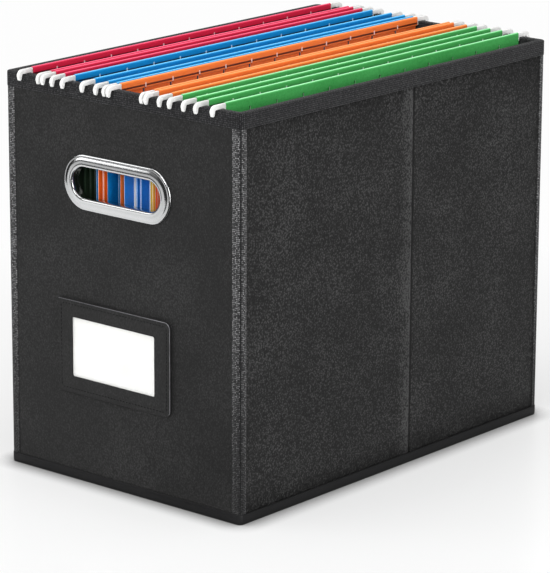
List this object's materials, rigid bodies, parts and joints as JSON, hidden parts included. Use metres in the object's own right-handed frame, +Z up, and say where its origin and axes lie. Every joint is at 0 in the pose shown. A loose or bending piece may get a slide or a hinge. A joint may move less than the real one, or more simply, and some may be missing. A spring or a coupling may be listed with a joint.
{
  "type": "portable file box",
  "caption": "Collapsible letter-size file box with a handle hole and label holder on its end wall, and hanging folders on its bound rim.",
  "frame": {"origin": "middle of the underside, on the surface that the box stands on", "axes": "+Z up; -Y is the end wall with the label holder; +Y runs along the folders; X runs across them"},
  "size_m": [0.1996, 0.324, 0.2655],
  "materials": {
    "leatherette": "matt grained leatherette",
    "chipboard": "plain grey chipboard",
    "lining_cloth": "black non-woven cloth",
    "rim_tape": "woven tape",
    "bottom_tape": "smooth tape",
    "corner_strip": "stitched leatherette strip",
    "chrome": "bright plated",
    "clear_film": "clear film",
    "label_leatherette": "matt grained leatherette",
    "label_paper": "smooth white card",
    "coated_rod": "white plastic coating on flat steel",
    "red_card": "coloured folder card",
    "blue_card": "coloured folder card",
    "orange_card": "coloured folder card",
    "green_card": "coloured folder card",
    "dark_sleeve": "dark green card",
    "orange_sleeve": "orange card",
    "blue_sleeve": "blue card",
    "yellow_sleeve": "yellow card",
    "white_paper": "white letter paper"
  },
  "bodies": {
    "box": {"front_board": "chipboard", "rear_board": "chipboard", "left_front_board": "chipboard", "left_rear_board": "chipboard", "right_front_board": "chipboard", "right_rear_board": "chipboard", "front_cover": "leatherette", "rear_cover": "leatherette", "left_cover": "leatherette", "right_cover": "leatherette", "lining": "lining_cloth", "bottom_cloth": "lining_cloth", "base_board": "lining_cloth", "rim_tape": "rim_tape", "bottom_tape": "bottom_tape", "front_left_corner_strip": "corner_strip", "front_right_corner_strip": "corner_strip", "rear_left_corner_strip": "corner_strip", "rear_right_corner_strip": "corner_strip", "front_handle_ring": "chrome", "front_handle_backing": "chrome", "rear_handle_ring": "chrome", "rear_handle_backing": "chrome", "label_backing": "label_leatherette", "label_window": "clear_film", "label_frame": "label_leatherette"},
    "label_insert": {"label_card": "label_paper"},
    "red_folder_1": {"red_folder_1_card": "red_card", "red_folder_1_left_rod": "coated_rod", "red_folder_1_right_rod": "coated_rod"},
    "red_folder_2": {"red_folder_2_card": "red_card", "red_folder_2_left_rod": "coated_rod", "red_folder_2_right_rod": "coated_rod"},
    "blue_folder_1": {"blue_folder_1_card": "blue_card", "blue_folder_1_left_rod": "coated_rod", "blue_folder_1_right_rod": "coated_rod"},
    "blue_folder_2": {"blue_folder_2_card": "blue_card", "blue_folder_2_left_rod": "coated_rod", "blue_folder_2_right_rod": "coated_rod"},
    "orange_folder_1": {"orange_folder_1_card": "orange_card", "orange_folder_1_left_rod": "coated_rod", "orange_folder_1_right_rod": "coated_rod"},
    "orange_folder_2": {"orange_folder_2_card": "orange_card", "orange_folder_2_left_rod": "coated_rod", "orange_folder_2_right_rod": "coated_rod"},
    "green_folder_1": {"green_folder_1_card": "green_card", "green_folder_1_left_rod": "coated_rod", "green_folder_1_right_rod": "coated_rod"},
    "green_folder_2": {"green_folder_2_card": "green_card", "green_folder_2_left_rod": "coated_rod", "green_folder_2_right_rod": "coated_rod"},
    "dark_file": {"dark_sleeves": "dark_sleeve", "dark_sheets": "white_paper"},
    "orange_file": {"orange_sleeves": "orange_sleeve", "orange_sheets": "white_paper"},
    "blue_file": {"blue_sleeves": "blue_sleeve", "yellow_sleeve": "yellow_sleeve", "blue_and_yellow_sheets": "white_paper"}
  },
  "joints": [
    {"name": "red_folder_1_lift", "type": "slide", "parent": "box", "child": "red_folder_1", "axis": [0, 0, 1], "range_m": [0, 0.25]},
    {"name": "red_folder_2_lift", "type": "slide", "parent": "box", "child": "red_folder_2", "axis": [0, 0, 1], "range_m": [0, 0.25]},
    {"name": "blue_folder_1_lift", "type": "slide", "parent": "box", "child": "blue_folder_1", "axis": [0, 0, 1], "range_m": [0, 0.25]},
    {"name": "blue_folder_2_lift", "type": "slide", "parent": "box", "child": "blue_folder_2", "axis": [0, 0, 1], "range_m": [0, 0.25]},
    {"name": "orange_folder_1_lift", "type": "slide", "parent": "box", "child": "orange_folder_1", "axis": [0, 0, 1], "range_m": [0, 0.25]},
    {"name": "orange_folder_2_lift", "type": "slide", "parent": "box", "child": "orange_folder_2", "axis": [0, 0, 1], "range_m": [0, 0.25]},
    {"name": "green_folder_1_lift", "type": "slide", "parent": "box", "child": "green_folder_1", "axis": [0, 0, 1], "range_m": [0, 0.25]},
    {"name": "green_folder_2_lift", "type": "slide", "parent": "box", "child": "green_folder_2", "axis": [0, 0, 1], "range_m": [0, 0.25]},
    {"name": "dark_file_lift", "type": "slide", "parent": "blue_folder_1", "child": "dark_file", "axis": [0, 0, 1], "range_m": [0, 0.236]},
    {"name": "blue_file_lift", "type": "slide", "parent": "orange_folder_1", "child": "blue_file", "axis": [0, 0, 1], "range_m": [0, 0.236]},
    {"name": "orange_file_lift", "type": "slide", "parent": "box", "child": "orange_file", "axis": [0, 0, 1], "range_m": [0, 0.262]},
    {"name": "label_insert_slide", "type": "slide", "parent": "box", "child": "label_insert", "axis": [-1, 0, 0], "range_m": [0, 0.095]}
  ]
}
